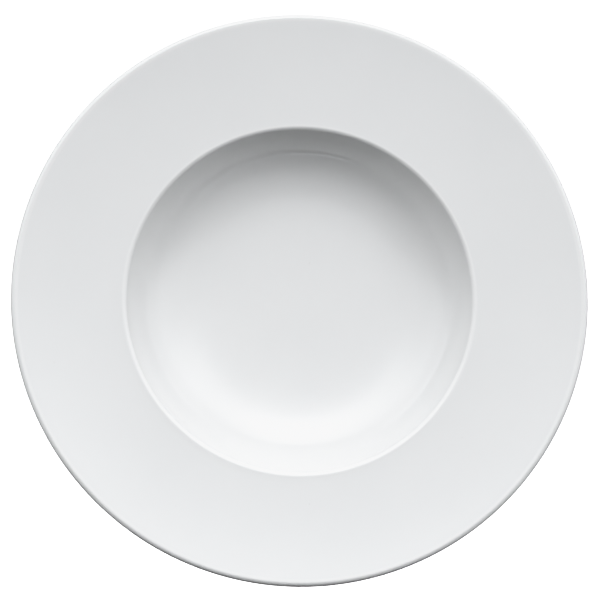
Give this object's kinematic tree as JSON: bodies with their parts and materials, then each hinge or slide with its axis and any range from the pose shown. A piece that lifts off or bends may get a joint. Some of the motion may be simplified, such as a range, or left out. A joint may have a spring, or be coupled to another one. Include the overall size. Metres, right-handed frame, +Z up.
{
  "type": "pasta plate",
  "caption": "Round deep plate with a wide, gently hollowed rim, a round-sided well and a low foot ring, for serving pasta, risotto or soup.",
  "frame": {"origin": "centre of the foot ring's standing face, on the surface the plate stands on", "axes": "+Z up along the plate's axis of turning, out of the well; the plate is round, so X and Y are free"},
  "size_m": [0.3, 0.3, 0.0426],
  "materials": {
    "biscuit_porcelain": "fired and unglazed, matt with a fine grain where the foot ring is wiped bare",
    "white_glaze": "high-gloss clear glaze over a cool white body"
  },
  "bodies": {
    "root": {"porcelain_body": "biscuit_porcelain", "glaze_coat": "white_glaze", "foot_recess_glaze": "white_glaze"}
  },
  "joints": []
}
